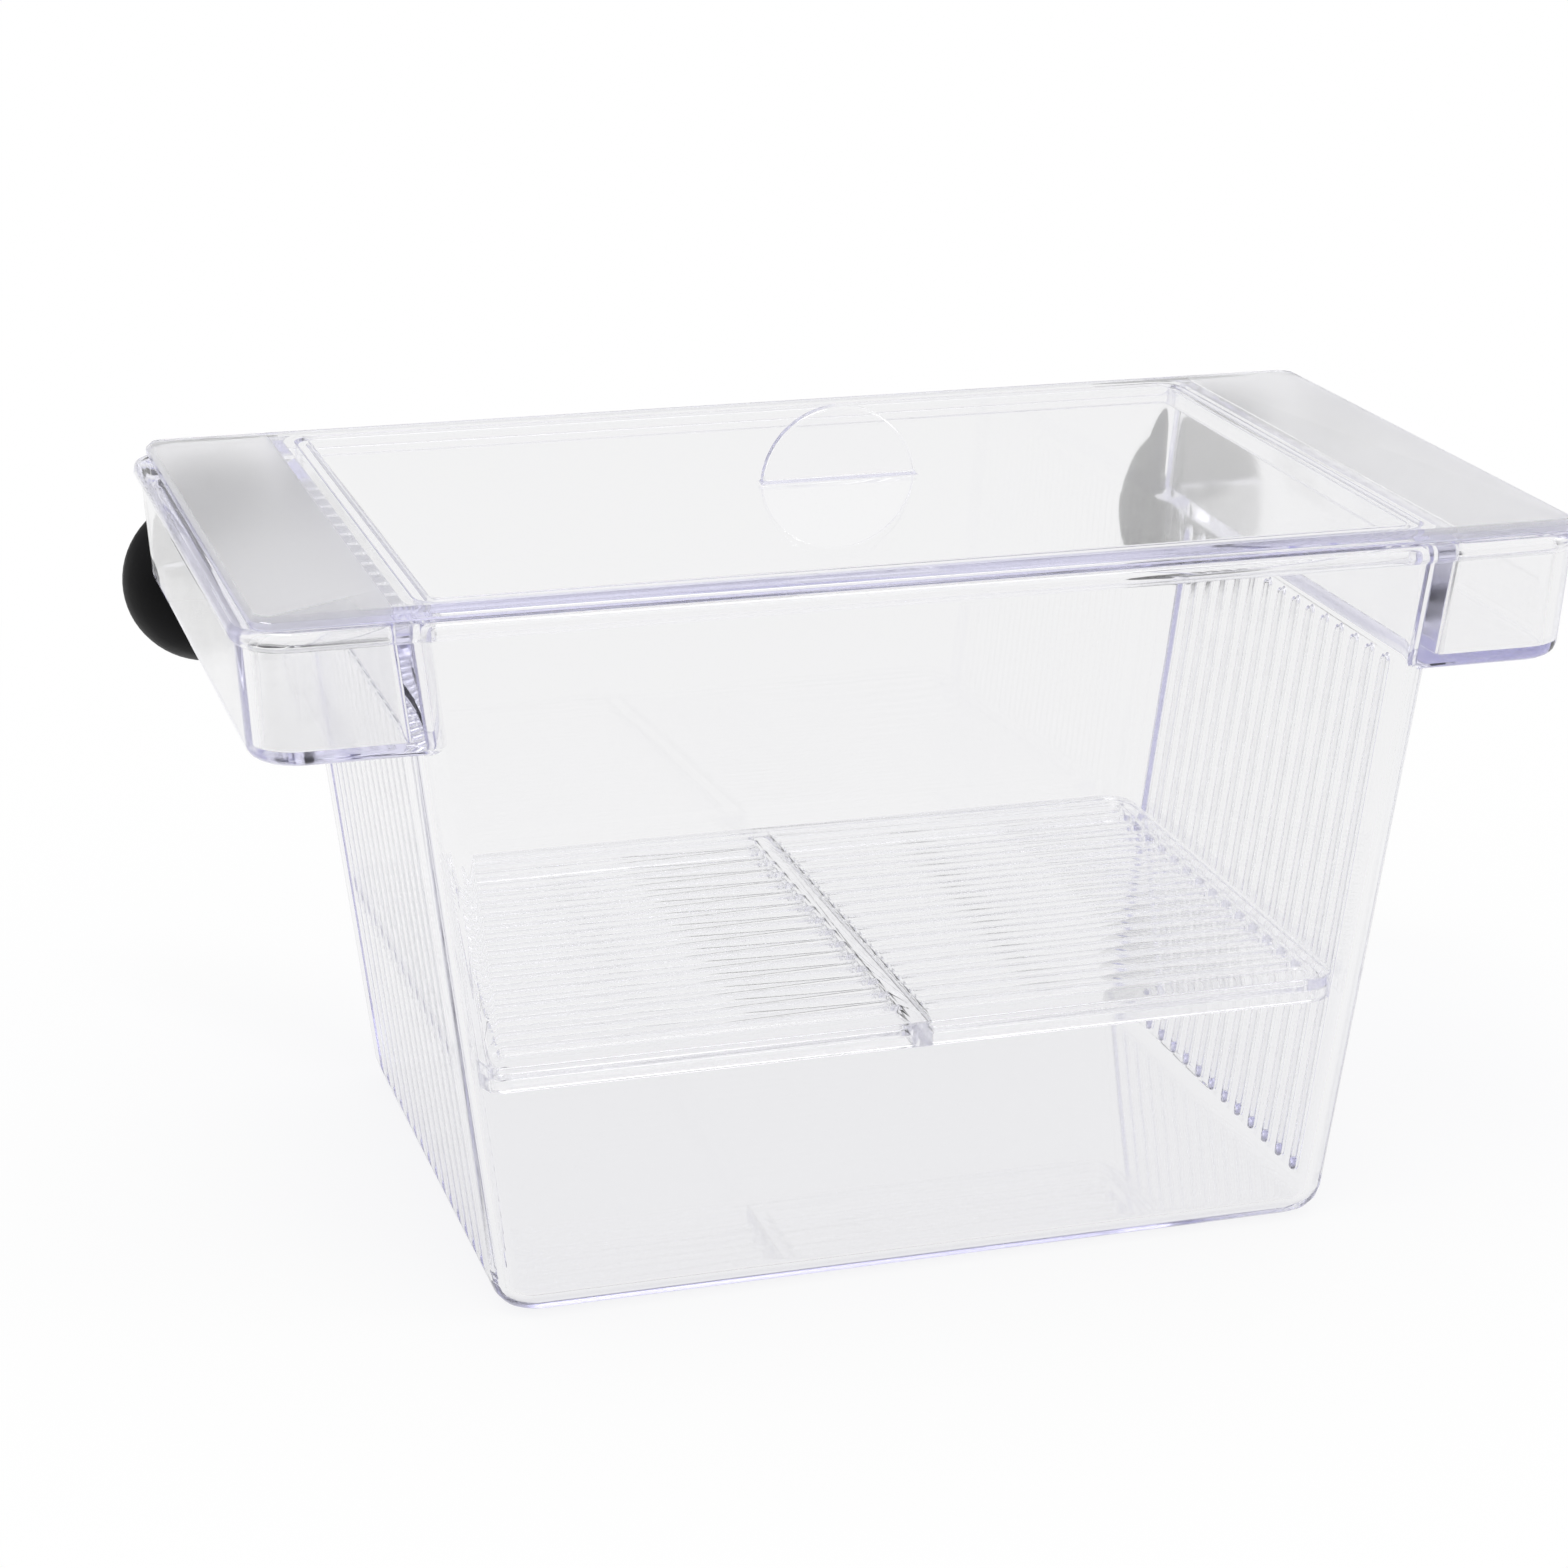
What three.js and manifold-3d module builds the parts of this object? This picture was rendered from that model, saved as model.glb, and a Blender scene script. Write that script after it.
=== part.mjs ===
// Fish breeding box: a clear moulded tank with two float wings, a lift-off lid, a slotted
// floor that keeps the mother fish above her fry, and two rubber suction cups.
// Millimetres, +Z up, +X along the length, +Y towards the aquarium glass.
// The origin is the middle of the flat underside.
import * as THREE from "three";
import { mergeVertices } from "three/addons/utils/BufferGeometryUtils.js";
import Module from "manifold-3d";

const wasm = await Module();
wasm.setup();

// Tank: outside sizes of the tapered trough
const BASE_LENGTH = 83;
const BASE_WIDTH = 62.4;
const RIM_LENGTH = 100.4;
const RIM_WIDTH = 66.6;
const RIM_HEIGHT = 68.7;
const WALL = 1.3;
const TROUGH_CORNER = 3.6;
const BASE_EDGE = 2.8;

// Float wings: how far each stands out from the trough's rim, how deep it is, and how far its
// end leans outwards from its floor to the rim
const WING_LENGTH = 13.4;
const WING_DEPTH = 12.5;
const WING_LEAN = 0.9;
const WING_CORNER = 4.5;
const WING_EDGE = 1.2;
const PARTITION_CORNER = 0.8;

// Rim lip that runs round the whole opening
const LIP_HEIGHT = 1.8;
const LIP_OUT = 0.6;

// Water slots in the end walls, and the slots of the floor, which share one pitch
const SLOT_PITCH = 3.43;
const SLOT_COUNT = 15;
const END_SLOT_WIDTH = 1.2;
const END_SLOT_FOOT = 2.4;
const END_SLOT_TOP = 55.4;

// Lid
const LID_LENGTH = 125;
const LID_WIDTH = 66.4;
const LID_THICKNESS = 1.3;
const LID_CORNER = 1.8;
const LID_EDGE = 0.5;
const SKIRT_DEPTH = 2.2;
const SKIRT_THICKNESS = 1.2;
const SKIRT_GAP = 0.8;
const TAB_LENGTH = 15.5;
const TAB_HEIGHT = 7.2;
const TAB_THICKNESS = 1.2;

// Slotted floor that hangs in the taper, its long sides clear of the trough's inside at the base
const FLOOR_TOP = 24.5;
const FLOOR_SIDE_GAP = 1.6;
const FLOOR_THICKNESS = 1.5;
const FLOOR_LIP_HEIGHT = 2.5;
const FLOOR_LIP_THICKNESS = 1.3;
const FLOOR_CORNER = 3;
const FLOOR_SLOT_WIDTH = 1.4;
const FLOOR_END_MARGIN = 2.4;
const CENTRE_BAR = 2;

// Suction cups, and the ears below the wings that carry them
const CUP_RADIUS = 9;
const CUP_FROM_TIP = 8.3;
const CUP_BELOW_WING = 3.4;
const CUP_REACH = 9.1;
const CUP_HOLLOW = 3.8;
const CUP_RIM_THICKNESS = 0.8;
const CUP_BACK_RADIUS = 3.4;
const CUP_BACK_LENGTH = 3.6;
const NECK_RADIUS = 1.6;
const KNOB_RADIUS = 2.6;
const KNOB_LENGTH = 2.6;
const EAR_RADIUS = 4.5;
const EAR_THICKNESS = 1.5;

// Clearance between pieces, and how far a cutter runs past what it cuts
const FIT_GAP = 0.3;
const OVERRUN = 2;

// Facet counts
const CORNER_STEPS = 6;
const EDGE_STEPS = 4;
const LIP_STEPS = 6;
const SLOT_STEPS = 4;
const ROUND_STEPS = 32;
const CUP_STEPS = 8;

const FULL_TURN = 2 * Math.PI;
const QUARTER_TURN = Math.PI / 2;

// Half sizes of the trough's outside at a height: its walls are straight and lean outwards.
const lerp = THREE.MathUtils.lerp;
const troughHalfLength = (z) => lerp(BASE_LENGTH, RIM_LENGTH, z / RIM_HEIGHT) / 2;
const troughHalfWidth = (z) => lerp(BASE_WIDTH, RIM_WIDTH, z / RIM_HEIGHT) / 2;

// Half of the wings' span at a height, on the same terms.
const WING_FLOOR = RIM_HEIGHT - WING_DEPTH;
const wingTip = RIM_LENGTH / 2 + WING_LENGTH;
const wingHalfSpan = (z) => wingTip - (WING_LEAN * (RIM_HEIGHT - z)) / WING_DEPTH;

// Middle of each suction cup, above the base and out from the middle of the box
const CUP_X = wingTip - CUP_FROM_TIP;
const CUP_Z = WING_FLOOR - CUP_BELOW_WING;

// Outline of a rectangle with a radius for its low-x corners and one for its high-x corners.
function outline(x0, x1, halfWidth, lowRadius, highRadius) {
  const corners = [
    [x1 - highRadius, halfWidth - highRadius, highRadius, 0],
    [x0 + lowRadius, halfWidth - lowRadius, lowRadius, QUARTER_TURN],
    [x0 + lowRadius, lowRadius - halfWidth, lowRadius, 2 * QUARTER_TURN],
    [x1 - highRadius, highRadius - halfWidth, highRadius, 3 * QUARTER_TURN],
  ];
  const points = [];
  for (const [x, y, radius, start] of corners) {
    for (let i = 0; i <= CORNER_STEPS; i++) {
      const angle = start + (QUARTER_TURN * i) / CORNER_STEPS;
      points.push([x + radius * Math.cos(angle), y + radius * Math.sin(angle)]);
    }
  }
  return points;
}

// Closed loft through outlines that have as many points each, lowest first.
function loft(sections) {
  const count = sections[0].points.length;
  const positions = [];
  for (const { z, points } of sections) {
    for (const [x, y] of points) positions.push(x, y, z);
  }
  const index = [];
  for (let s = 0; s + 1 < sections.length; s++) {
    for (let i = 0; i < count; i++) {
      const a = s * count + i;
      const b = s * count + ((i + 1) % count);
      index.push(a, b, b + count, a, b + count, a + count);
    }
  }
  const last = (sections.length - 1) * count;
  for (let i = 1; i + 1 < count; i++) {
    index.push(0, i + 1, i);
    index.push(last, last + i, last + i + 1);
  }
  const geometry = new THREE.BufferGeometry();
  geometry.setAttribute("position", new THREE.Float32BufferAttribute(positions, 3));
  geometry.setIndex(index);
  return geometry;
}

// Solid for joining and cutting, from a closed geometry.
function solid(geometry) {
  const plain = geometry.clone();
  plain.deleteAttribute("normal");
  plain.deleteAttribute("uv");
  const merged = mergeVertices(plain);
  const mesh = new wasm.Mesh({
    numProp: 3,
    vertProperties: merged.attributes.position.array,
    triVerts: new Uint32Array(merged.index.array),
  });
  return new wasm.Manifold(mesh);
}

function geometryOf(body) {
  const mesh = body.getMesh();
  const geometry = new THREE.BufferGeometry();
  geometry.setAttribute("position", new THREE.BufferAttribute(mesh.vertProperties, 3));
  geometry.setIndex(new THREE.BufferAttribute(mesh.triVerts, 1));
  geometry.computeVertexNormals();
  return geometry;
}

// Shape from an outline, and a shape's straight extrusion up from a height.
const shapeOf = (points) => new THREE.Shape(points.map(([x, y]) => new THREE.Vector2(x, y)));

function extrudeUp(shape, z, height) {
  const options = { depth: height, bevelEnabled: false, curveSegments: SLOT_STEPS };
  const geometry = new THREE.ExtrudeGeometry(shape, options);
  geometry.translate(0, 0, z);
  return geometry;
}

// Slot outline with round ends, running along the first axis.
function slotPath(Path, start, end, centre, width) {
  const radius = width / 2;
  const path = new Path();
  path.absarc(end - radius, centre, radius, -QUARTER_TURN, QUARTER_TURN, false);
  path.absarc(start + radius, centre, radius, QUARTER_TURN, 3 * QUARTER_TURN, false);
  path.closePath();
  return path;
}

// Places of the slots across the width, the same for the end walls and the floor.
const slotCentres = [];
for (let i = 0; i < SLOT_COUNT; i++) {
  slotCentres.push((i - (SLOT_COUNT - 1) / 2) * SLOT_PITCH);
}

// Sections of a tapered body whose lowest edge is rounded: the half sizes follow the height.
function roundedSections(bottom, top, edge, outlineAt) {
  const sections = [];
  for (let i = 0; i <= EDGE_STEPS; i++) {
    const angle = (QUARTER_TURN * i) / EDGE_STEPS;
    const z = bottom + edge * (1 - Math.cos(angle));
    sections.push({ z, points: outlineAt(z, edge * (1 - Math.sin(angle))) });
  }
  sections.push({ z: top, points: outlineAt(top, 0) });
  return sections;
}

// Rounded rectangle centred on the origin, drawn in from its half sizes by an inset. Its corner
// radius shrinks with the inset and stays above zero.
function centredOutline(halfLength, halfWidth, corner, inset) {
  const radius = inset > 0 ? (corner * corner) / (corner + inset) : corner - inset;
  return outline(inset - halfLength, halfLength - inset, halfWidth - inset, radius, radius);
}

// Tank

// The trough below the wings ends where their rounded lower edge does.
function troughBody() {
  const outlineAt = (z, inset) =>
    centredOutline(troughHalfLength(z), troughHalfWidth(z), TROUGH_CORNER, inset);
  return solid(loft(roundedSections(0, WING_FLOOR + WING_EDGE, BASE_EDGE, outlineAt)));
}

function troughHollow() {
  const outlineAt = (z, inset) =>
    centredOutline(
      troughHalfLength(z) - WALL,
      troughHalfWidth(z) - WALL,
      TROUGH_CORNER - WALL,
      inset,
    );
  const top = RIM_HEIGHT + OVERRUN;
  return solid(loft(roundedSections(WALL, top, BASE_EDGE - WALL, outlineAt)));
}

// One bar from wing tip to wing tip, flush with the trough's front and back walls. The lip
// round the rim swells out of the wall in a half-round nose.
function wingBody() {
  const outlineAt = (z, inset) =>
    centredOutline(wingHalfSpan(z), troughHalfWidth(z), WING_CORNER, inset);
  const foot = RIM_HEIGHT - LIP_HEIGHT;
  const sections = roundedSections(WING_FLOOR, foot, WING_EDGE, outlineAt);
  for (let i = 1; i < LIP_STEPS; i++) {
    const angle = (2 * QUARTER_TURN * i) / LIP_STEPS;
    const z = foot + (LIP_HEIGHT * (1 - Math.cos(angle))) / 2;
    sections.push({ z, points: outlineAt(z, -LIP_OUT * Math.sin(angle)) });
  }
  sections.push({ z: RIM_HEIGHT, points: outlineAt(RIM_HEIGHT, 0) });
  return solid(loft(sections));
}

// The hollow of the wing on the +X side: the trough's end wall closes it on the inner side.
function wingHollow() {
  const sections = [];
  for (const z of [WING_FLOOR + WALL, RIM_HEIGHT + OVERRUN]) {
    const inner = troughHalfLength(z);
    const outer = wingHalfSpan(z) - WALL;
    const halfWidth = troughHalfWidth(z) - WALL;
    const points = outline(inner, outer, halfWidth, PARTITION_CORNER, WING_CORNER - WALL);
    sections.push({ z, points });
  }
  return solid(loft(sections));
}

// Vertical slots through both end walls, as one cutter for each slot.
function endSlotCutters() {
  const length = RIM_LENGTH + 2 * OVERRUN;
  return slotCentres.map((y) => {
    const shape = slotPath(THREE.Shape, END_SLOT_FOOT, END_SLOT_TOP, 0, END_SLOT_WIDTH);
    const geometry = extrudeUp(shape, -length / 2, length);
    // The slot's long axis turns upright, and its depth turns along the tank.
    geometry.rotateY(-QUARTER_TURN);
    geometry.translate(0, y, 0);
    return solid(geometry);
  });
}

// Back face of the ears: flush with the back wall at the wing floor.
const earBack = troughHalfWidth(WING_FLOOR);

// Ear that hangs from the wing's floor at the back, with the hole for a suction cup's neck.
function ear(side) {
  const shape = new THREE.Shape();
  shape.moveTo(EAR_RADIUS, WING_FLOOR + WALL - CUP_Z);
  shape.lineTo(-EAR_RADIUS, WING_FLOOR + WALL - CUP_Z);
  shape.absarc(0, 0, EAR_RADIUS, 2 * QUARTER_TURN, 4 * QUARTER_TURN, false);
  shape.closePath();
  const hole = new THREE.Path();
  hole.absarc(0, 0, NECK_RADIUS + FIT_GAP, 0, FULL_TURN, true);
  shape.holes.push(hole);
  const options = { depth: EAR_THICKNESS, bevelEnabled: false, curveSegments: CORNER_STEPS * 2 };
  const geometry = new THREE.ExtrudeGeometry(shape, options);
  geometry.rotateX(QUARTER_TURN);
  geometry.translate(side * CUP_X, earBack, CUP_Z);
  return solid(geometry);
}

function tank() {
  let body = troughBody().add(wingBody());
  body = body.add(ear(-1)).add(ear(1));
  body = body.subtract(troughHollow());
  const hollow = wingHollow();
  body = body.subtract(hollow).subtract(hollow.mirror([1, 0, 0]));
  for (const cutter of endSlotCutters()) body = body.subtract(cutter);
  return body;
}

// Lid

// Upright ring under the lid that drops into the breeding chamber and keeps the lid in place.
function skirt() {
  const foot = RIM_HEIGHT - SKIRT_DEPTH;
  const halfLength = troughHalfLength(foot) - WALL - SKIRT_GAP;
  const halfWidth = troughHalfWidth(foot) - WALL - SKIRT_GAP;
  const corner = TROUGH_CORNER - WALL;
  const shape = shapeOf(centredOutline(halfLength, halfWidth, corner, 0));
  const innerLength = halfLength - SKIRT_THICKNESS;
  const innerWidth = halfWidth - SKIRT_THICKNESS;
  shape.holes.push(shapeOf(centredOutline(innerLength, innerWidth, corner - SKIRT_THICKNESS, 0)));
  return solid(extrudeUp(shape, foot, SKIRT_DEPTH + LID_THICKNESS / 2));
}

// Half-round finger tab across the middle of the lid, a chord of a circle through its ends.
function fingerTab() {
  const half = TAB_LENGTH / 2;
  const radius = (half * half + TAB_HEIGHT * TAB_HEIGHT) / (2 * TAB_HEIGHT);
  const root = Math.asin((TAB_HEIGHT - radius) / radius);
  const shape = new THREE.Shape();
  shape.moveTo(-half, -LID_THICKNESS / 2);
  shape.lineTo(half, -LID_THICKNESS / 2);
  shape.absarc(0, TAB_HEIGHT - radius, radius, -root, 2 * QUARTER_TURN + root, false);
  shape.closePath();
  const options = { depth: TAB_THICKNESS, bevelEnabled: false, curveSegments: ROUND_STEPS };
  const geometry = new THREE.ExtrudeGeometry(shape, options);
  geometry.rotateX(QUARTER_TURN);
  geometry.translate(0, TAB_THICKNESS / 2, RIM_HEIGHT + LID_THICKNESS);
  return solid(geometry);
}

// Plate with its upper edge eased.
function lidPlate() {
  const outlineAt = (inset) => centredOutline(LID_LENGTH / 2, LID_WIDTH / 2, LID_CORNER, inset);
  const top = RIM_HEIGHT + LID_THICKNESS;
  return solid(
    loft([
      { z: RIM_HEIGHT, points: outlineAt(0) },
      { z: top - LID_EDGE, points: outlineAt(0) },
      { z: top, points: outlineAt(LID_EDGE) },
    ]),
  );
}

function lid() {
  return lidPlate().add(skirt()).add(fingerTab());
}

// Slotted floor

function slottedFloor() {
  const foot = FLOOR_TOP - FLOOR_LIP_HEIGHT;
  const halfLength = troughHalfLength(foot) - WALL - FIT_GAP;
  const halfWidth = troughHalfWidth(0) - WALL - FLOOR_SIDE_GAP;
  const panel = shapeOf(centredOutline(halfLength, halfWidth, FLOOR_CORNER, 0));
  const slotEnd = halfLength - FLOOR_END_MARGIN;
  // The row has as many slots as fit between the lips along the sides.
  const slotReach = halfWidth - FLOOR_LIP_THICKNESS - FLOOR_SLOT_WIDTH / 2;
  for (const y of slotCentres.filter((centre) => Math.abs(centre) < slotReach)) {
    panel.holes.push(slotPath(THREE.Path, CENTRE_BAR / 2, slotEnd, y, FLOOR_SLOT_WIDTH));
    panel.holes.push(slotPath(THREE.Path, -slotEnd, -CENTRE_BAR / 2, y, FLOOR_SLOT_WIDTH));
  }
  const border = shapeOf(centredOutline(halfLength, halfWidth, FLOOR_CORNER, 0));
  const inside = centredOutline(
    halfLength - FLOOR_LIP_THICKNESS,
    halfWidth - FLOOR_LIP_THICKNESS,
    FLOOR_CORNER - FLOOR_LIP_THICKNESS,
    0,
  );
  border.holes.push(shapeOf(inside));
  const bar = shapeOf(
    outline(-CENTRE_BAR / 2, CENTRE_BAR / 2, halfWidth - FLOOR_LIP_THICKNESS / 2, FIT_GAP, FIT_GAP),
  );
  return solid(extrudeUp(panel, FLOOR_TOP - FLOOR_THICKNESS, FLOOR_THICKNESS))
    .add(solid(extrudeUp(border, foot, FLOOR_LIP_HEIGHT)))
    .add(solid(extrudeUp(bar, foot, FLOOR_LIP_HEIGHT)));
}

// Suction cups

// Profile of the cup from the tip of its knob to the middle of its hollow, as radius and height
// along the axis. Height 0 is the ear's back face, and the cup stands off it by a fit gap.
function cupProfile() {
  const points = [];
  const knobFoot = -EAR_THICKNESS - FIT_GAP;
  for (let i = 0; i <= CUP_STEPS; i++) {
    const angle = (QUARTER_TURN * i) / CUP_STEPS;
    const height = knobFoot - KNOB_LENGTH * Math.cos(angle);
    points.push([KNOB_RADIUS * Math.sin(angle), height]);
  }
  points.push([NECK_RADIUS, knobFoot]);
  points.push([NECK_RADIUS, FIT_GAP]);
  points.push([CUP_BACK_RADIUS, FIT_GAP]);
  const bellStart = FIT_GAP + CUP_BACK_LENGTH;
  const bellEnd = CUP_REACH - CUP_RIM_THICKNESS;
  for (let i = 0; i <= CUP_STEPS; i++) {
    const angle = (QUARTER_TURN * i) / CUP_STEPS;
    const radius = CUP_BACK_RADIUS + (CUP_RADIUS - CUP_BACK_RADIUS) * Math.sin(angle);
    points.push([radius, bellEnd - (bellEnd - bellStart) * Math.cos(angle)]);
  }
  const inner = CUP_RADIUS - CUP_RIM_THICKNESS;
  points.push([CUP_RADIUS, CUP_REACH]);
  for (let i = 0; i < CUP_STEPS; i++) {
    const angle = (QUARTER_TURN * i) / CUP_STEPS;
    points.push([inner * Math.cos(angle), CUP_REACH - CUP_HOLLOW * Math.sin(angle)]);
  }
  points.push([0, CUP_REACH - CUP_HOLLOW]);
  return points;
}

function suctionCup() {
  const profile = cupProfile().map(([radius, height]) => new THREE.Vector2(radius, height));
  return new THREE.LatheGeometry(profile, ROUND_STEPS);
}

// Assembly

const clearPlastic = {
  color: 0xe6e6f2,
  roughness: 0.06,
  metalness: 0,
  transparent: true,
  opacity: 0.35,
};
const blackRubber = { color: 0x1a1a1c, roughness: 0.5, metalness: 0 };

const box = new THREE.Group();

function addPiece(name, geometry, look) {
  const mesh = new THREE.Mesh(geometry, new THREE.MeshStandardMaterial(look));
  mesh.name = name;
  box.add(mesh);
  return mesh;
}

addPiece("tank", geometryOf(tank()), clearPlastic);
addPiece("lid", geometryOf(lid()), clearPlastic);
addPiece("slotted_floor", geometryOf(slottedFloor()), clearPlastic);
for (const [name, side] of [["suction_cup_left", -1], ["suction_cup_right", 1]]) {
  const cup = addPiece(name, suctionCup(), blackRubber);
  cup.position.set(side * CUP_X, earBack, CUP_Z);
}

export default box;
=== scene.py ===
import math

import bmesh
import bpy
from mathutils import Matrix, Vector


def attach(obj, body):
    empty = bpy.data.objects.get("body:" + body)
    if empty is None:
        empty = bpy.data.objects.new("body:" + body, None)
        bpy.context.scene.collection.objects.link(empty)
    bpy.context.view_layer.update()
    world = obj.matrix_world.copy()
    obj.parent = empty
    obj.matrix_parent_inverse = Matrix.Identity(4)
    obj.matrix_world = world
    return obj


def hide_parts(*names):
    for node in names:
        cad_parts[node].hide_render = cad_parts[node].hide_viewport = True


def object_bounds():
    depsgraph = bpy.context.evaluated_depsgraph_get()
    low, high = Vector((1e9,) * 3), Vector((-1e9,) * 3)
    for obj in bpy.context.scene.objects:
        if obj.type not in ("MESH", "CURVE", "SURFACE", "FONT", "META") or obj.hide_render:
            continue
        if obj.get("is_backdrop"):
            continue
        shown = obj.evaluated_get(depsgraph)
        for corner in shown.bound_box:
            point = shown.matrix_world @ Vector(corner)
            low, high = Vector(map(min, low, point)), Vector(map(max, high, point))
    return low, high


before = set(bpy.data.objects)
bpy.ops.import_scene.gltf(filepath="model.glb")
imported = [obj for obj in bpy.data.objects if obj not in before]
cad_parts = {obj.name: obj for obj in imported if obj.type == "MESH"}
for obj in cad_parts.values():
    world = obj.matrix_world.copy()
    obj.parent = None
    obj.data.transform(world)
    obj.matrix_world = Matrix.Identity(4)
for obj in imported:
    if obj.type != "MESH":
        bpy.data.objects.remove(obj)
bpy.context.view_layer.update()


# Tank
# Trough, float wings, partitions and ears are one injection moulding in clear polystyrene. The tool
# is polished, but for the spark-eroded blades of the end walls' slots and the eroded blocks that
# core out the wings.
MM = 0.001
MERGE_DISTANCE = 0.002 * MM
FLAT_ANGLE = math.radians(0.05)
EDGE_ANGLE = math.radians(50)
EDGE_RADIUS = 0.15 * MM
RIM_HEIGHT = 68.7 * MM
RIM_DROP = 0.05 * MM
# How far a unit normal reaches along an axis: a face that looks along it passes ALONG, and the
# faces in a slot, unlike those of the end wall, stay below SLOT_FACE_LIMIT along the length.
ALONG = 0.9
SLOT_FACE_LIMIT = 0.6
# Two boxes hold the eroded faces of one quarter of the tank, and the others are folded onto it.
SLOT_ZONE_LOW = Vector((39.5, -1, 2.35)) * MM
SLOT_ZONE_HIGH = Vector((50, 25, 55.5)) * MM
WING_ZONE_LOW = Vector((48.4, -1, 57.3)) * MM
WING_ZONE_HIGH = Vector((62.5, 32.1, 68.2)) * MM
WING_MATT = 0.35
POLISHED = 0.02
# Most of a noise texture's values lie between these two.
NOISE_LOW, NOISE_HIGH = 0.3, 0.7


def linear(code):
    """Linear colour of an sRGB hex value."""
    parts = [int(code[i : i + 2], 16) / 255 for i in (1, 3, 5)]
    return [p / 12.92 if p <= 0.04045 else ((p + 0.055) / 1.055) ** 2.4 for p in parts] + [1]


def add(tree, kind, links=(), **settings):
    """Adds a node. Settings name its properties or sockets, links feed its sockets."""
    node = tree.nodes.new(kind)
    for name, value in settings.items():
        if hasattr(node, name):
            setattr(node, name, value)
        elif name.startswith("input_"):
            node.inputs[int(name[6:])].default_value = value
        else:
            node.inputs[name.replace("_", " ")].default_value = value
    for socket, source in dict(links).items():
        output = source.outputs[0] if hasattr(source, "outputs") else source
        tree.links.new(output, node.inputs[socket])
    return node


def emptied(block):
    """Turns on the nodes of a material or world and clears them."""
    block.use_nodes = True
    block.node_tree.nodes.clear()
    return block.node_tree


def object_from(bm, name):
    """Ends a bmesh as an object of the scene."""
    mesh = bpy.data.meshes.new(name)
    bm.to_mesh(mesh)
    bm.free()
    piece = bpy.data.objects.new(name, mesh)
    bpy.context.scene.collection.objects.link(piece)
    return piece


def moulding_copy(node, name, merge_flats=True):
    """A piece on the shape of its node, its loose triangles merged."""
    bm = bmesh.new()
    bm.from_mesh(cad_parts[node].data)
    bmesh.ops.remove_doubles(bm, verts=bm.verts, dist=MERGE_DISTANCE)
    if merge_flats:
        bmesh.ops.dissolve_limit(
            bm, angle_limit=FLAT_ANGLE, verts=bm.verts, edges=bm.edges, delimit=set()
        )
    return object_from(bm, name)


def ease_edges(piece, radius=EDGE_RADIUS):
    """Small moulded radius on each edge, with the flats kept flat."""
    piece.data.shade_smooth()
    piece.data.set_sharp_from_angle(angle=EDGE_ANGLE)
    bevel = piece.modifiers.new("moulded_radius", "BEVEL")
    bevel.width = radius
    bevel.segments = 2
    bevel.limit_method = "ANGLE"
    bevel.angle_limit = EDGE_ANGLE
    bevel.use_clamp_overlap = False
    normals = piece.modifiers.new("flat_faces", "WEIGHTED_NORMAL")
    normals.keep_sharp = True


def within(point, low, high):
    return all(l < p < h for l, p, h in zip(low, point, high))


def mark_matt(piece, matt_share):
    """Marks how matt the tool leaves each face, from 0 to 1, for the material to read."""
    matt = piece.data.attributes.new("matt", "FLOAT", "FACE")
    for face, value in zip(piece.data.polygons, matt.data):
        value.value = matt_share(face.center, face.normal)


def eroded(centre, normal):
    """Matt share of the slots' faces, the wings' floors, and the partitions on the wings' side."""
    folded = Vector((abs(centre.x), abs(centre.y), centre.z))
    outwards = normal.x * math.copysign(1, centre.x)
    if within(folded, SLOT_ZONE_LOW, SLOT_ZONE_HIGH) and abs(normal.x) < SLOT_FACE_LIMIT:
        return 1
    if within(folded, WING_ZONE_LOW, WING_ZONE_HIGH) and max(outwards, normal.z) > ALONG:
        return WING_MATT
    return 0


def polish_or_grain(tree, grain_roughness, grain_size):
    """Roughness: polished on most faces, and the uneven grain of spark erosion on the matt ones."""
    place = add(tree, "ShaderNodeTexCoord")
    grain = add(
        tree, "ShaderNodeTexNoise", {"Vector": place.outputs["Object"]},
        Scale=1 / grain_size, Detail=3,
    )
    smoother, rougher = grain_roughness
    rough = add(
        tree, "ShaderNodeMapRange", {"Value": grain},
        From_Min=NOISE_LOW, From_Max=NOISE_HIGH, To_Min=smoother, To_Max=rougher,
    )
    matt = add(tree, "ShaderNodeAttribute", attribute_name="matt")
    return add(
        tree, "ShaderNodeMix", {0: matt.outputs["Fac"], 3: rough},
        data_type="FLOAT", input_2=POLISHED,
    )


def mould_waves(tree, width, depth):
    """Slow waves of a moulded wall, as a bump."""
    place = add(tree, "ShaderNodeTexCoord")
    waves = add(
        tree, "ShaderNodeTexNoise", {"Vector": place.outputs["Object"]},
        Scale=1 / width, Detail=1,
    )
    return add(tree, "ShaderNodeBump", {"Height": waves}, Strength=1, Distance=depth)


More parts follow.
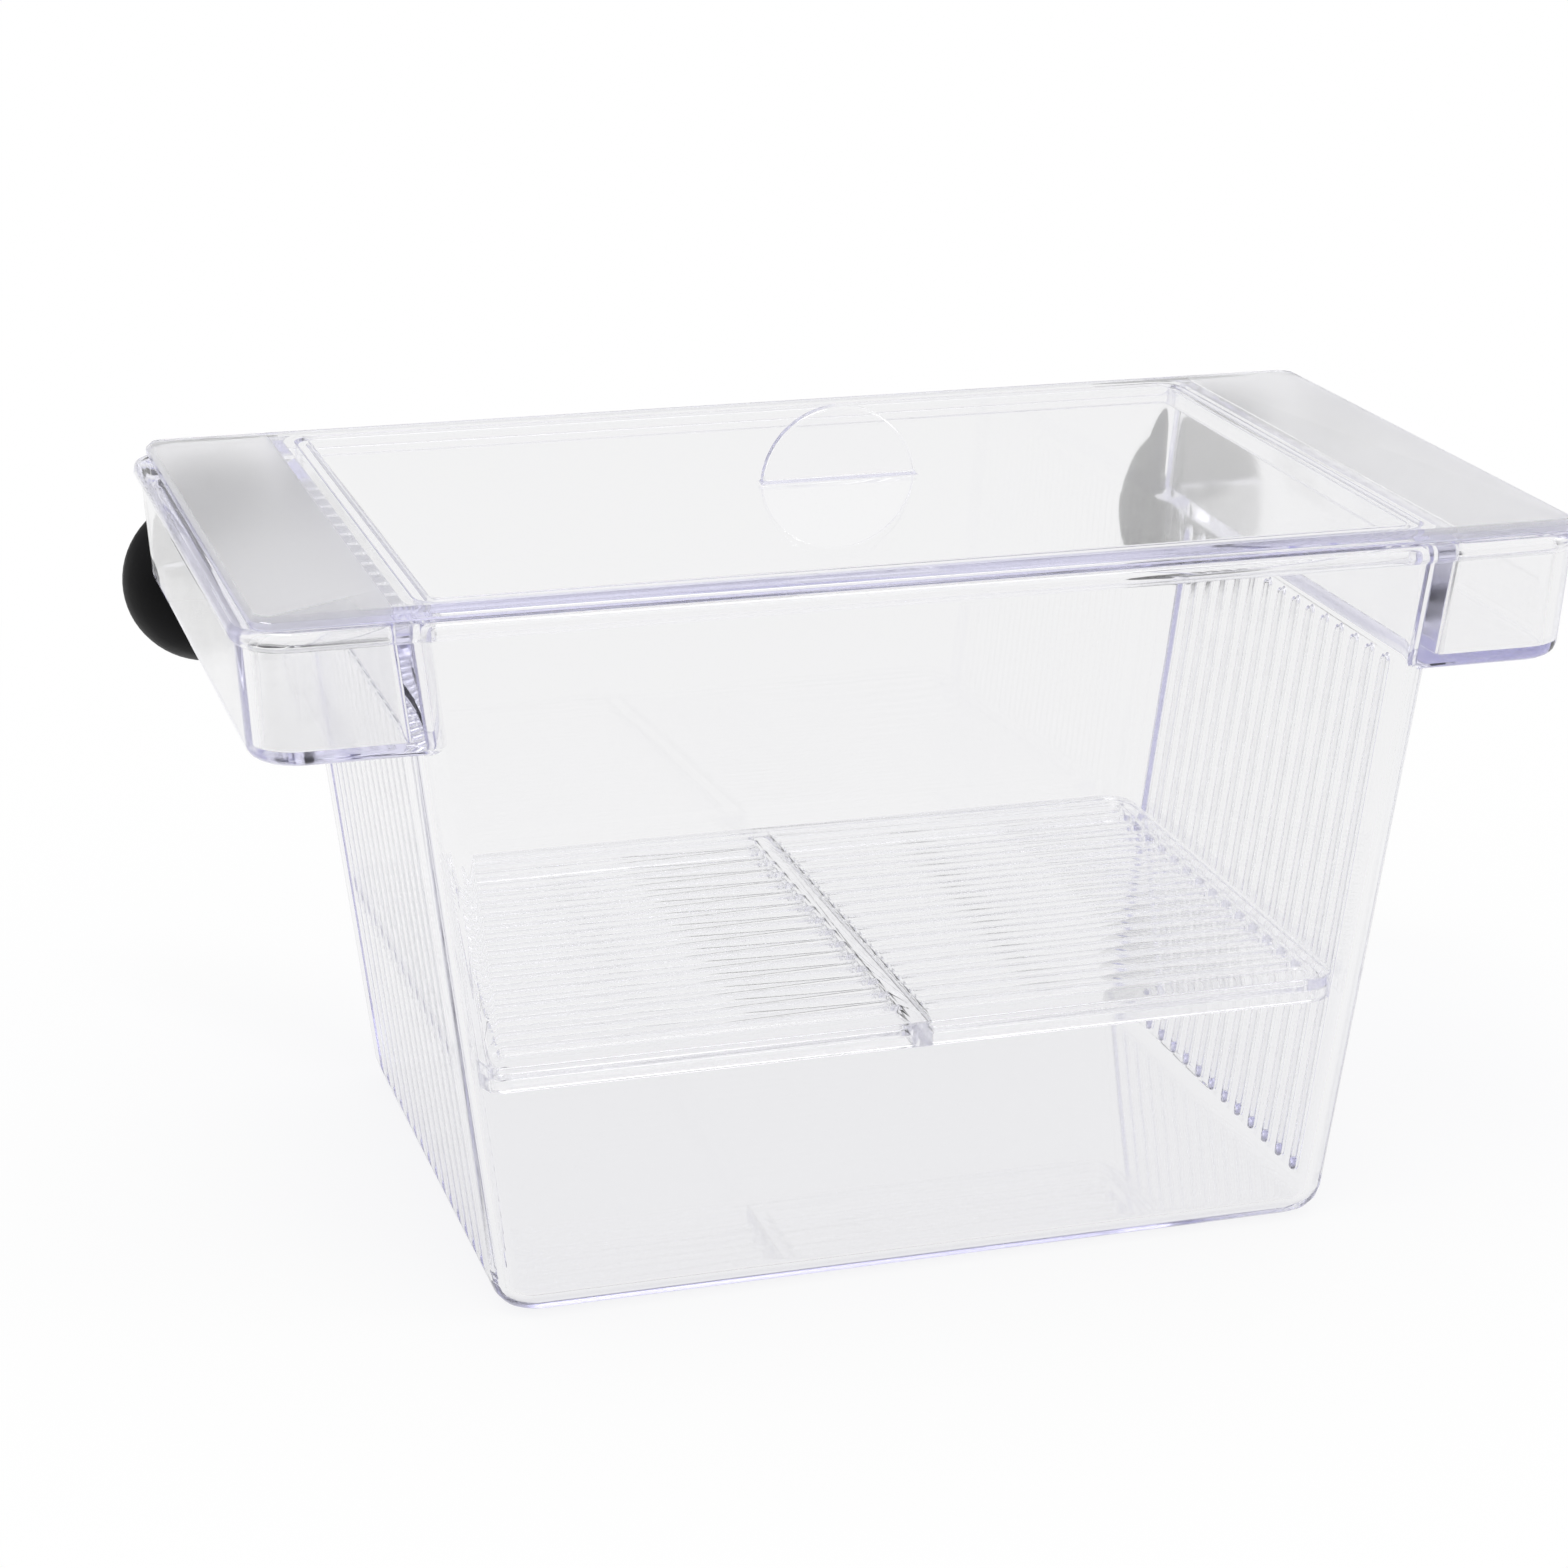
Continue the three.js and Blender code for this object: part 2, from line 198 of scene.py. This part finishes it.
def clear_polystyrene(name, grain_roughness, grain_size, wave_width, wave_depth):
    """Injection-moulded general purpose polystyrene: glass clear, IOR 1.59, with the faint violet
    of its optical brightener, which the eye finds only where it looks along a wall."""
    material = bpy.data.materials.new(name)
    tree = emptied(material)
    roughness = polish_or_grain(tree, grain_roughness, grain_size)
    waves = mould_waves(tree, wave_width, wave_depth)
    plastic = add(
        tree, "ShaderNodeBsdfPrincipled", {"Roughness": roughness, "Normal": waves},
        Base_Color=linear("#ffffff"), IOR=1.59, Transmission_Weight=1,
    )
    # Light that falls through a wall leaves a pale shadow, as it does behind clear plastic.
    path = add(tree, "ShaderNodeLightPath")
    through = add(tree, "ShaderNodeBsdfTransparent", Color=linear("#f4f4fa"))
    surface = add(
        tree, "ShaderNodeMixShader", {0: path.outputs["Is Shadow Ray"], 1: plastic, 2: through}
    )
    violet = add(tree, "ShaderNodeVolumeAbsorption", Color=linear("#d8d6f7"), Density=10)
    add(tree, "ShaderNodeOutputMaterial", {"Surface": surface, "Volume": violet})
    return material


tank = moulding_copy("tank", "clear_tank")
# The lid rests on the rim. A hair of air between the two keeps them two surfaces to the eye.
for vert in tank.data.vertices:
    if vert.co.z > RIM_HEIGHT - RIM_DROP / 2:
        vert.co.z -= RIM_DROP
mark_matt(tank, eroded)
ease_edges(tank)
# Erosion leaves the slots a soft grey sheen, and a light haze in the wings.
tank.data.materials.append(clear_polystyrene(
    "polished_and_spark_eroded_polystyrene", grain_roughness=(0.12, 0.26), grain_size=2.5 * MM,
    wave_width=16 * MM, wave_depth=0.03 * MM,
))
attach(tank, "body")
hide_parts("tank")


# Slotted floor
# A loose clear plate that hangs in the taper of the trough. Fry drop through its slots, away from
# the mother fish. Moulded in the same polystyrene, with a hanging lip that stiffens it.
UPRIGHT_LIMIT = 0.5
slotted_floor = moulding_copy("slotted_floor", "clear_slotted_floor", merge_flats=False)
mark_matt(slotted_floor, lambda centre, normal: abs(normal.z) < UPRIGHT_LIMIT)
ease_edges(slotted_floor)
# Its upright faces are satin, so the slots draw soft lines and the flats stay clear.
slotted_floor.data.materials.append(clear_polystyrene(
    "satin_moulded_polystyrene", grain_roughness=(0.06, 0.12), grain_size=2.5 * MM,
    wave_width=12 * MM, wave_depth=0.01 * MM,
))
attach(slotted_floor, "floor")
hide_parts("slotted_floor")


# Lid
# A loose clear plate over the trough and both wings, with a ring below it that keeps it in place
# and a half-round finger tab on top. One moulding in the same polystyrene, polished, and matt on
# its underside over the wings.
UNDERSIDE = 68.7 * MM
WING_START = 50.2 * MM
LID_EDGE_RADIUS = 0.25 * MM
lid = moulding_copy("lid", "clear_lid")
# The underside is one face, so it is cut where the matt areas start.
bm = bmesh.new()
bm.from_mesh(lid.data)
for sign in (-1, 1):
    bmesh.ops.bisect_plane(
        bm, geom=bm.verts[:] + bm.edges[:] + bm.faces[:],
        plane_co=(sign * WING_START, 0, 0), plane_no=(1, 0, 0),
    )
bm.to_mesh(lid.data)
bm.free()
mark_matt(lid, lambda centre, normal: (
    abs(centre.x) > WING_START and abs(centre.z - UNDERSIDE) < EDGE_RADIUS and normal.z < -ALONG
))
ease_edges(lid, LID_EDGE_RADIUS)
# The matt areas blur what lies below them to a cloudy grey, and the rest is clear as glass.
lid.data.materials.append(clear_polystyrene(
    "polished_lid_polystyrene", grain_roughness=(0.28, 0.33), grain_size=6 * MM,
    wave_width=20 * MM, wave_depth=0.025 * MM,
))
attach(lid, "lid")
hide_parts("lid")


# Suction cups
# Two soft cups, each one piece of compression-moulded black rubber: a thin bell, a thick back, and
# a neck with a knob that is pressed through the hole of an ear. The bell's rim feathers out.
CUP_X = 55.3 * MM
CUP_Z = 52.8 * MM
EAR_BACK = 32.918 * MM
CUP_PROFILE = (
    # Radius and height from the ear's back face, from the knob's tip to the bottom of the hollow.
    (0, -4.4), (1.0, -4.2), (1.84, -3.64), (2.4, -2.8), (2.6, -2.05), (2.35, -1.85), (1.6, -1.8),
    (1.6, 0.3), (3.1, 0.3), (3.4, 0.6), (3.4, 3.7), (4.0, 3.95), (5.3, 4.3), (6.6, 5.0),
    (7.7, 5.95), (8.5, 7.1), (8.92, 8.2), (9.0, 8.85), (8.85, 9.1), (8.45, 9.1), (8.15, 8.7),
    (7.5, 7.3), (6.4, 6.2), (5.0, 5.6), (3.0, 5.34), (0, 5.3),
)
TURN_STEPS = 64
BLOOM_SIZE = 4 * MM
SATIN_LOW, SATIN_HIGH = 0.38, 0.55
# A real blasted mould leaves a grain of about 0.05 mm: drawn at 0.3 mm, so that it shows.
GRAIN_SIZE = 0.3 * MM
GRAIN_DEPTH = 0.03 * MM


def moulded_rubber():
    """Carbon-black filled rubber from a fine-blasted mould: near black, satin, a faint bloom."""
    material = bpy.data.materials.new("compression_moulded_black_rubber")
    tree = emptied(material)
    place = add(tree, "ShaderNodeTexCoord").outputs["Object"]
    bloom = add(tree, "ShaderNodeTexNoise", {"Vector": place}, Scale=1 / BLOOM_SIZE, Detail=5)
    colour = add(tree, "ShaderNodeValToRGB", {0: bloom})
    for stop, code in zip(colour.color_ramp.elements, ("#060607", "#0e0e10")):
        stop.color = linear(code)
    satin = add(
        tree, "ShaderNodeMapRange", {"Value": bloom},
        From_Min=NOISE_LOW, From_Max=NOISE_HIGH, To_Min=SATIN_LOW, To_Max=SATIN_HIGH,
    )
    grain = add(tree, "ShaderNodeTexNoise", {"Vector": place}, Scale=1 / GRAIN_SIZE, Detail=2)
    bump = add(tree, "ShaderNodeBump", {"Height": grain}, Strength=0.4, Distance=GRAIN_DEPTH)
    rubber = add(
        tree, "ShaderNodeBsdfPrincipled",
        {"Base Color": colour, "Roughness": satin, "Normal": bump},
        IOR=1.52, Specular_IOR_Level=0.12,
    )
    add(tree, "ShaderNodeOutputMaterial", {"Surface": rubber})
    return material


rubber = moulded_rubber()
for side, sign in (("left", -1), ("right", 1)):
    bm = bmesh.new()
    rings = [bm.verts.new((r * MM, h * MM, 0)) for r, h in CUP_PROFILE]
    for low, high in zip(rings, rings[1:]):
        bm.edges.new((low, high))
    bmesh.ops.spin(
        bm, geom=bm.verts[:] + bm.edges[:], axis=(0, 1, 0), cent=(0, 0, 0),
        angle=math.tau, steps=TURN_STEPS, use_merge=True,
    )
    bmesh.ops.remove_doubles(bm, verts=bm.verts, dist=MERGE_DISTANCE)
    bmesh.ops.recalc_face_normals(bm, faces=bm.faces)
    bmesh.ops.translate(bm, verts=bm.verts, vec=(sign * CUP_X, EAR_BACK, CUP_Z))
    cup = object_from(bm, "rubber_suction_cup_" + side)
    cup.data.shade_smooth()
    cup.data.set_sharp_from_angle(angle=EDGE_ANGLE)
    cup.data.materials.append(rubber)
    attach(cup, side + "_cup")
    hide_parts("suction_cup_" + side)


# Studio floor
# A sweep of matt white paper under and behind the box. It glows white far out, and near the box a
# part of it takes the light as paper does, so that the box's soft shadow stays.
SWEEP_HALF_WIDTH = 3
SWEEP_DROP = 0.02 * MM
# The shadow fades between these distances from the middle of the box.
SHADOW_FROM, SHADOW_TO = 60 * MM, 220 * MM
GLOW_NEAR_BOX = 0.85
# Level of the white seen through the plastic, a little below the white beside the box; on the sweep
# it is painted shade.
THROUGH_PLASTIC = 0.925
# Painted shade in what the box mirrors: for mirrored rays the sweep's glow is set near white behind
# the box and falls off towards the front, standing in for the dim room there.
MIRRORED_FRONT, MIRRORED_BACK = 0.35, 0.93
FRONT_PLACE, BACK_PLACE = -150 * MM, 50 * MM

bm = bmesh.new()
bmesh.ops.create_grid(bm, x_segments=1, y_segments=1, size=SWEEP_HALF_WIDTH)
bmesh.ops.translate(bm, verts=bm.verts, vec=(0, 0, -SWEEP_DROP))
studio_floor = object_from(bm, "studio_floor")
paper = bpy.data.materials.new("matt_white_studio_paper")
tree = emptied(paper)
place = add(tree, "ShaderNodeTexCoord").outputs["Object"]
path = add(tree, "ShaderNodeLightPath").outputs
# The glow meets the camera's rays and those that the plastic mirrors or lets through.
seen = path["Is Camera Ray"]
for kind in ("Is Glossy Ray", "Is Transmission Ray"):
    seen = add(tree, "ShaderNodeMath", {0: seen, 1: path[kind]}, operation="MAXIMUM")
reach = add(tree, "ShaderNodeVectorMath", {0: place}, operation="LENGTH")
glow_share = add(
    tree, "ShaderNodeMapRange", {"Value": reach.outputs["Value"]},
    interpolation_type="SMOOTHSTEP",
    From_Min=SHADOW_FROM, From_Max=SHADOW_TO, To_Min=GLOW_NEAR_BOX, To_Max=1,
)
share = add(tree, "ShaderNodeMath", {0: seen, 1: glow_share}, operation="MULTIPLY")
# Painted shade: through the plastic the sweep's glow is set a little darker than it is beside the
# box.
level = add(
    tree, "ShaderNodeMath", {0: path["Is Transmission Ray"]}, operation="MULTIPLY_ADD",
    input_1=THROUGH_PLASTIC - 1, input_2=1,
)
# A ray through the plastic counts as glossy too, so a mirrored one is glossy and not transmitted.
mirrored = add(
    tree, "ShaderNodeMath", {0: path["Is Glossy Ray"], 1: path["Is Transmission Ray"]},
    operation="SUBTRACT",
)
# Painted shade: for mirrored rays the sweep's glow darkens towards the front.
depth = add(tree, "ShaderNodeSeparateXYZ", {0: place})
mirrored_painted_shade = add(
    tree, "ShaderNodeMapRange", {"Value": depth.outputs["Y"]}, interpolation_type="SMOOTHSTEP",
    From_Min=FRONT_PLACE, From_Max=BACK_PLACE,
    To_Min=MIRRORED_FRONT - 1, To_Max=MIRRORED_BACK - 1,
)
level = add(
    tree, "ShaderNodeMath", {0: mirrored, 1: mirrored_painted_shade, 2: level}, operation="MULTIPLY_ADD"
)
matt = add(tree, "ShaderNodeBsdfDiffuse", Color=linear("#fdfdfd"))
glow = add(tree, "ShaderNodeEmission", {"Strength": level}, Color=linear("#ffffff"))
surface = add(tree, "ShaderNodeMixShader", {0: share, 1: matt, 2: glow})
add(tree, "ShaderNodeOutputMaterial", {"Surface": surface})
studio_floor.data.materials.append(paper)
studio_floor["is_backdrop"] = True


# Backdrop and room light
# The backdrop is white to the camera and a little darker through the plastic. What the plastic
# mirrors is the dimmer room around the sweep, and all other surfaces get plain soft light from it.
SOFT_LIGHT = 0.62
BACKDROP = 1
ROOM = 0.84
# Heights on a unit sphere, where the backdrop turns into the ceiling, and the ceiling into the
# bright patch overhead.
CEILING_FROM, CEILING_TO, CEILING = 0.5, 0.85, 0.6
PATCH_FROM, PATCH_TO, PATCH = 0.85, 0.97, 2

world = bpy.data.worlds.new("white_studio")
bpy.context.scene.world = world
tree = emptied(world)
path = add(tree, "ShaderNodeLightPath").outputs
light, backdrop, room = (
    add(tree, "ShaderNodeBackground", Color=linear("#ffffff"), Strength=strength)
    for strength in (SOFT_LIGHT, BACKDROP, ROOM)
)
# The ceiling above the sweep is dim, with a soft bright patch straight overhead. Both show only
# where an edge of the plastic bends the view steeply upwards: they grey it, or make it glint.
place = add(tree, "ShaderNodeTexCoord").outputs["Generated"]
height = add(tree, "ShaderNodeSeparateXYZ", {0: place}).outputs["Z"]
ceiling, patch = (
    add(
        tree, "ShaderNodeMapRange", {"Value": height}, interpolation_type="SMOOTHSTEP",
        From_Min=start, From_Max=end, To_Min=below, To_Max=above,
    )
    for start, end, below, above in (
        (CEILING_FROM, CEILING_TO, THROUGH_PLASTIC, CEILING), (PATCH_FROM, PATCH_TO, 0, PATCH)
    )
)
upwards = add(tree, "ShaderNodeMath", {0: ceiling, 1: patch}, operation="ADD")
behind = add(tree, "ShaderNodeBackground", {"Strength": upwards}, Color=linear("#ffffff"))
# The last kind that a ray is wins, because one through the plastic counts as glossy too.
studio = light
for kind, shader in (
    ("Is Camera Ray", backdrop), ("Is Glossy Ray", room), ("Is Transmission Ray", behind)
):
    studio = add(tree, "ShaderNodeMixShader", {0: path[kind], 1: studio, 2: shader})
add(tree, "ShaderNodeOutputWorld", {"Surface": studio})


# Lamps
# A long softbox overhead to the left, and a weaker square one to the right. Both are turned to the
# middle of the box.
AIM = Vector((0, 0, 0.035))
for name, place, width, depth, power in (
    ("overhead_softbox", (-0.15, -0.1, 0.7), 0.6, 0.12, 2.2),
    ("right_softbox", (0.6, -0.3, 0.4), 0.3, 0.3, 0.8),
):
    data = bpy.data.lights.new(name, "AREA")
    data.shape = "RECTANGLE"
    data.size = width
    data.size_y = depth
    data.energy = power
    lamp = bpy.data.objects.new(name, data)
    lamp.location = place
    # Seen through a matt wall, a small bright lamp would only give grain in the picture.
    lamp.visible_transmission = False
    lamp.rotation_mode = "QUATERNION"
    lamp.rotation_quaternion = (AIM - Vector(place)).to_track_quat("-Z", "Y")
    bpy.context.scene.collection.objects.link(lamp)


# Camera
# It stands front left and a little above, turned and rolled as the photograph's was.
YAW, PITCH, ROLL = 0.2988, 0.33, 0.0081
FOCAL_PIXELS, FRAME_PIXELS = 3770.75, 1568
CAMERA_PLACE = Vector((-109.365, -338.111, 160.273)) * MM

data = bpy.data.cameras.new("camera")
camera = bpy.data.objects.new("camera", data)
bpy.context.scene.collection.objects.link(camera)
forward = Vector(
    (math.sin(YAW) * math.cos(PITCH), math.cos(YAW) * math.cos(PITCH), -math.sin(PITCH))
)
sideways = Vector((math.cos(YAW), -math.sin(YAW), 0))
upward = sideways.cross(forward)
right = math.cos(ROLL) * sideways + math.sin(ROLL) * upward
up = -math.sin(ROLL) * sideways + math.cos(ROLL) * upward
stand = Matrix((right, up, -forward)).transposed().to_4x4()
stand.translation = CAMERA_PLACE
camera.matrix_world = stand
data.sensor_width = 36
data.lens = FOCAL_PIXELS / FRAME_PIXELS * data.sensor_width
data.clip_start, data.clip_end = 0.01, 20
bpy.context.scene.camera = camera


# Light paths
# Light crosses many walls of the clear box before it leaves it.
WALL_CROSSINGS = 64
scene = bpy.context.scene
scene.view_settings.view_transform = "Standard"
scene.cycles.max_bounces = WALL_CROSSINGS
scene.cycles.transmission_bounces = WALL_CROSSINGS
scene.cycles.glossy_bounces = WALL_CROSSINGS
scene.cycles.transparent_max_bounces = 48
scene.cycles.caustics_reflective = False
scene.cycles.caustics_refractive = False

low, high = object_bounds()
